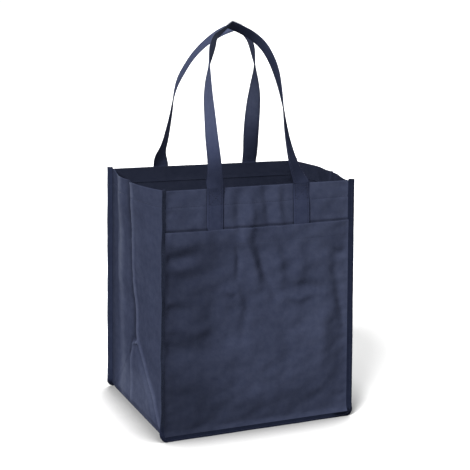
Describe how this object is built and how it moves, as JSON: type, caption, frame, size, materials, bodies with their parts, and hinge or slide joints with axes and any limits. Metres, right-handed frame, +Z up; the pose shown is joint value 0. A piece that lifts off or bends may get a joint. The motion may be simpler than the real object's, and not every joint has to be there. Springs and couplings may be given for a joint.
{
  "type": "shopping tote bag",
  "caption": "Open-topped gusseted tote bag of non-woven cloth with a full-width front pocket, a loose base board and long sewn handles that swing over the mouth.",
  "frame": {"origin": "on the floor at the middle of the base", "axes": "+Z up towards the mouth and the handles, -Y towards the front panel with the pocket, +X to the right seen from the front"},
  "size_m": [0.344, 0.28, 0.6386],
  "materials": {
    "bag_cloth": "matt non-woven polypropylene cloth with a fine embossed dot pattern",
    "binding_tape": "matt non-woven tape, folded and pressed, darker than the cloth",
    "strap_cloth": "matt non-woven cloth folded to a strap",
    "thread": "navy polyester sewing thread",
    "base_board": "matt dark plastic sheet"
  },
  "bodies": {
    "bag": {"front_panel": "bag_cloth", "back_panel": "bag_cloth", "gusset_strip": "bag_cloth", "front_pocket": "bag_cloth", "front_edge_binding": "binding_tape", "back_edge_binding": "binding_tape", "front_strap_tail_left": "strap_cloth", "front_strap_tail_right": "strap_cloth", "back_strap_tail_left": "strap_cloth", "back_strap_tail_right": "strap_cloth", "front_hem_thread": "thread", "back_hem_thread": "thread", "left_hem_thread": "thread", "right_hem_thread": "thread", "pocket_hem_thread": "thread", "front_binding_thread": "thread", "back_binding_thread": "thread", "front_box_stitch_left": "thread", "front_box_stitch_right": "thread", "back_box_stitch_left": "thread", "back_box_stitch_right": "thread"},
    "front_handle": {"front_handle_strap": "strap_cloth", "front_handle_thread": "thread"},
    "back_handle": {"back_handle_strap": "strap_cloth", "back_handle_thread": "thread"},
    "base_board": {"base_board": "base_board"}
  },
  "joints": [
    {"name": "front_handle_swing", "type": "hinge", "parent": "bag", "child": "front_handle", "pos_m": [0, -0.1345, 0.393], "axis": [1, 0, 0], "range_deg": [0, 203]},
    {"name": "back_handle_swing", "type": "hinge", "parent": "bag", "child": "back_handle", "pos_m": [0, 0.1345, 0.393], "axis": [-1, 0, 0], "range_deg": [0, 206]},
    {"name": "base_board_lift", "type": "slide", "parent": "bag", "child": "base_board", "axis": [0, 0, 1], "range_m": [0, 0.37]}
  ]
}
